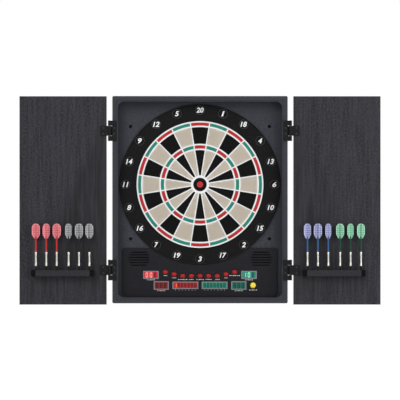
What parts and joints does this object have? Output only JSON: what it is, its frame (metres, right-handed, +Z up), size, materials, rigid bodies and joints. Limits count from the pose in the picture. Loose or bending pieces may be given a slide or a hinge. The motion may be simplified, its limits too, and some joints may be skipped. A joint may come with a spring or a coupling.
{
  "type": "dart board cabinet",
  "caption": "Wall-mounted electronic dart board in a shallow casing behind two hinged doors, each with a rack of soft-tip darts.",
  "frame": {"origin": "centre of the four wall screws, on the wall plane at the casing's back", "axes": "+X to the viewer's right along the open doors, +Z up, and the front faces -Y, so +Y points into the wall"},
  "size_m": [0.9738, 0.0965, 0.5625],
  "materials": {
    "casing_plastic": "fine moulded grain, dark slate",
    "rear_plastic": "fine moulded grain, black",
    "console_plastic": "smooth satin, near black",
    "ring_plastic": "satin black with plain white numbers",
    "web_plastic": "smooth white",
    "black_segment": "perforated matt black",
    "cream_segment": "perforated matt cream",
    "red_segment": "perforated matt red",
    "green_segment": "perforated matt green",
    "sensor_mat": "printed contact film",
    "backing_board": "hardboard",
    "circuit_board": "green solder mask",
    "display_block": "black digit blocks",
    "silver_frame": "satin silver",
    "red_window": "tinted window over digits",
    "green_window": "tinted window over digits",
    "switch_plastic": "moulded",
    "speaker": "pressed basket and paper cone",
    "socket_plastic": "moulded",
    "screw_steel": "zinc plated",
    "hinge_plastic": "moulded nylon, black",
    "black_screw": "blackened steel",
    "pin_steel": "drawn steel",
    "door_board": "fibreboard with a black wood-grain foil",
    "rack_plastic": "moulded, black",
    "red_button": "moulded, red",
    "yellow_button": "moulded, yellow",
    "red_dart": "red shaft and flight, nickel barrel, black soft tip",
    "grey_dart": "black shaft, grey flight, nickel barrel, black soft tip",
    "blue_dart": "blue shaft and flight, nickel barrel, black soft tip",
    "green_dart": "green shaft and flight, nickel barrel, black soft tip"
  },
  "bodies": {
    "cabinet": {"front_shell": "casing_plastic", "rear_shell": "rear_plastic", "console_panel": "console_plastic", "number_ring": "ring_plastic", "web": "web_plastic", "singles_black": "black_segment", "singles_cream": "cream_segment", "rings_red": "red_segment", "rings_green": "green_segment", "sensor_mat": "sensor_mat", "backing_plate": "backing_board", "control_board": "circuit_board", "display_modules": "display_block", "display_bezels": "silver_frame", "red_display_windows": "red_window", "green_display_windows": "green_window", "button_switches": "switch_plastic", "speakers": "speaker", "dc_socket": "socket_plastic", "case_screws": "screw_steel", "board_screws": "screw_steel", "left_hinge_brackets": "hinge_plastic", "right_hinge_brackets": "hinge_plastic", "bracket_screws": "black_screw", "left_hinge_pins": "pin_steel", "right_hinge_pins": "pin_steel"},
    "left_door": {"left_door_panel": "door_board", "left_hinge_leaves": "hinge_plastic", "left_dart_rack": "rack_plastic", "left_door_screws": "black_screw"},
    "right_door": {"right_door_panel": "door_board", "right_hinge_leaves": "hinge_plastic", "right_dart_rack": "rack_plastic", "right_door_screws": "black_screw"},
    "outer_bull": {"outer_bull": "black_segment"},
    "inner_bull": {"inner_bull": "red_segment"},
    "yellow_button": {"yellow_button": "yellow_button"},
    "red_button_1": {"red_button_1": "red_button"},
    "red_button_2": {"red_button_2": "red_button"},
    "red_button_3": {"red_button_3": "red_button"},
    "red_button_4": {"red_button_4": "red_button"},
    "red_button_5": {"red_button_5": "red_button"},
    "red_button_6": {"red_button_6": "red_button"},
    "red_button_7": {"red_button_7": "red_button"},
    "red_button_8": {"red_button_8": "red_button"},
    "red_button_9": {"red_button_9": "red_button"},
    "left_dart_1": {"left_dart_1": "red_dart"},
    "left_dart_2": {"left_dart_2": "red_dart"},
    "left_dart_3": {"left_dart_3": "red_dart"},
    "left_dart_4": {"left_dart_4": "grey_dart"},
    "left_dart_5": {"left_dart_5": "grey_dart"},
    "left_dart_6": {"left_dart_6": "grey_dart"},
    "right_dart_1": {"right_dart_1": "blue_dart"},
    "right_dart_2": {"right_dart_2": "blue_dart"},
    "right_dart_3": {"right_dart_3": "blue_dart"},
    "right_dart_4": {"right_dart_4": "green_dart"},
    "right_dart_5": {"right_dart_5": "green_dart"},
    "right_dart_6": {"right_dart_6": "green_dart"}
  },
  "joints": [
    {"name": "left_door_hinge", "type": "hinge", "parent": "cabinet", "child": "left_door", "pos_m": [-0.2442, -0.07, -0.005], "axis": [0, 0, 1], "range_deg": [0, 180]},
    {"name": "right_door_hinge", "type": "hinge", "parent": "cabinet", "child": "right_door", "pos_m": [0.2442, -0.07, -0.005], "axis": [0, 0, -1], "range_deg": [0, 180]},
    {"name": "outer_bull_press", "type": "slide", "parent": "cabinet", "child": "outer_bull", "axis": [0, 1, 0], "range_m": [0, 0.0008], "stiffness_N_per_m": 900},
    {"name": "inner_bull_press", "type": "slide", "parent": "cabinet", "child": "inner_bull", "axis": [0, 1, 0], "range_m": [0, 0.0008], "stiffness_N_per_m": 900},
    {"name": "red_button_1_press", "type": "slide", "parent": "cabinet", "child": "red_button_1", "axis": [0, 1, 0], "range_m": [0, 0.0015], "stiffness_N_per_m": 400},
    {"name": "red_button_2_press", "type": "slide", "parent": "cabinet", "child": "red_button_2", "axis": [0, 1, 0], "range_m": [0, 0.0015], "stiffness_N_per_m": 400},
    {"name": "red_button_3_press", "type": "slide", "parent": "cabinet", "child": "red_button_3", "axis": [0, 1, 0], "range_m": [0, 0.0015], "stiffness_N_per_m": 400},
    {"name": "red_button_4_press", "type": "slide", "parent": "cabinet", "child": "red_button_4", "axis": [0, 1, 0], "range_m": [0, 0.0015], "stiffness_N_per_m": 400},
    {"name": "red_button_5_press", "type": "slide", "parent": "cabinet", "child": "red_button_5", "axis": [0, 1, 0], "range_m": [0, 0.0015], "stiffness_N_per_m": 400},
    {"name": "red_button_6_press", "type": "slide", "parent": "cabinet", "child": "red_button_6", "axis": [0, 1, 0], "range_m": [0, 0.0015], "stiffness_N_per_m": 400},
    {"name": "red_button_7_press", "type": "slide", "parent": "cabinet", "child": "red_button_7", "axis": [0, 1, 0], "range_m": [0, 0.0015], "stiffness_N_per_m": 400},
    {"name": "red_button_8_press", "type": "slide", "parent": "cabinet", "child": "red_button_8", "axis": [0, 1, 0], "range_m": [0, 0.0015], "stiffness_N_per_m": 400},
    {"name": "red_button_9_press", "type": "slide", "parent": "cabinet", "child": "red_button_9", "axis": [0, 1, 0], "range_m": [0, 0.0015], "stiffness_N_per_m": 400},
    {"name": "yellow_button_press", "type": "slide", "parent": "cabinet", "child": "yellow_button", "axis": [0, 1, 0], "range_m": [0, 0.0015], "stiffness_N_per_m": 400},
    {"name": "left_dart_1_lift", "type": "slide", "parent": "left_door", "child": "left_dart_1", "axis": [0, 0, 1], "range_m": [0, 0.045]},
    {"name": "left_dart_2_lift", "type": "slide", "parent": "left_door", "child": "left_dart_2", "axis": [0, 0, 1], "range_m": [0, 0.045]},
    {"name": "left_dart_3_lift", "type": "slide", "parent": "left_door", "child": "left_dart_3", "axis": [0, 0, 1], "range_m": [0, 0.045]},
    {"name": "left_dart_4_lift", "type": "slide", "parent": "left_door", "child": "left_dart_4", "axis": [0, 0, 1], "range_m": [0, 0.045]},
    {"name": "left_dart_5_lift", "type": "slide", "parent": "left_door", "child": "left_dart_5", "axis": [0, 0, 1], "range_m": [0, 0.045]},
    {"name": "left_dart_6_lift", "type": "slide", "parent": "left_door", "child": "left_dart_6", "axis": [0, 0, 1], "range_m": [0, 0.045]},
    {"name": "right_dart_1_lift", "type": "slide", "parent": "right_door", "child": "right_dart_1", "axis": [0, 0, 1], "range_m": [0, 0.045]},
    {"name": "right_dart_2_lift", "type": "slide", "parent": "right_door", "child": "right_dart_2", "axis": [0, 0, 1], "range_m": [0, 0.045]},
    {"name": "right_dart_3_lift", "type": "slide", "parent": "right_door", "child": "right_dart_3", "axis": [0, 0, 1], "range_m": [0, 0.045]},
    {"name": "right_dart_4_lift", "type": "slide", "parent": "right_door", "child": "right_dart_4", "axis": [0, 0, 1], "range_m": [0, 0.045]},
    {"name": "right_dart_5_lift", "type": "slide", "parent": "right_door", "child": "right_dart_5", "axis": [0, 0, 1], "range_m": [0, 0.045]},
    {"name": "right_dart_6_lift", "type": "slide", "parent": "right_door", "child": "right_dart_6", "axis": [0, 0, 1], "range_m": [0, 0.045]}
  ]
}
